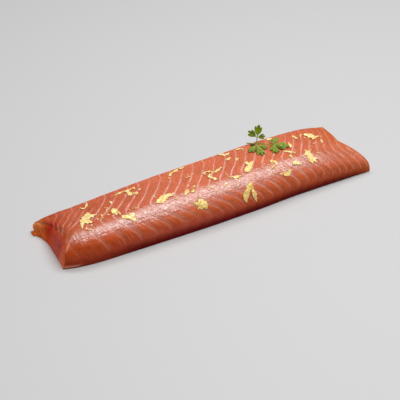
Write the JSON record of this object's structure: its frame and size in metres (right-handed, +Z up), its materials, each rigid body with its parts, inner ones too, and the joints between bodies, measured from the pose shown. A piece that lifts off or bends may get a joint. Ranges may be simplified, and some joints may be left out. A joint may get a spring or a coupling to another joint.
{
  "type": "salmon fillet",
  "caption": "Trimmed salmon fillet, a long rounded block with chevron muscle seams, flakes of gold leaf and a small herb sprig on top.",
  "frame": {"origin": "under the middle of the whole part's box, on the flat underside", "axes": "+X along the fillet from its thick end to its thin end, +Z up, -Y towards the wide rounded front side"},
  "size_m": [0.3069, 0.0717, 0.0439],
  "materials": {
    "flesh": "raw salmon flesh, moist, orange-red with thin pinkish-white seams",
    "gold_leaf": "crumpled edible gold leaf, pale yellow",
    "herb": "fresh green herb leaflets on yellow-green stems"
  },
  "bodies": {
    "root": {"salmon_fillet": "flesh", "herb_sprig": "herb"}
  },
  "joints": []
}
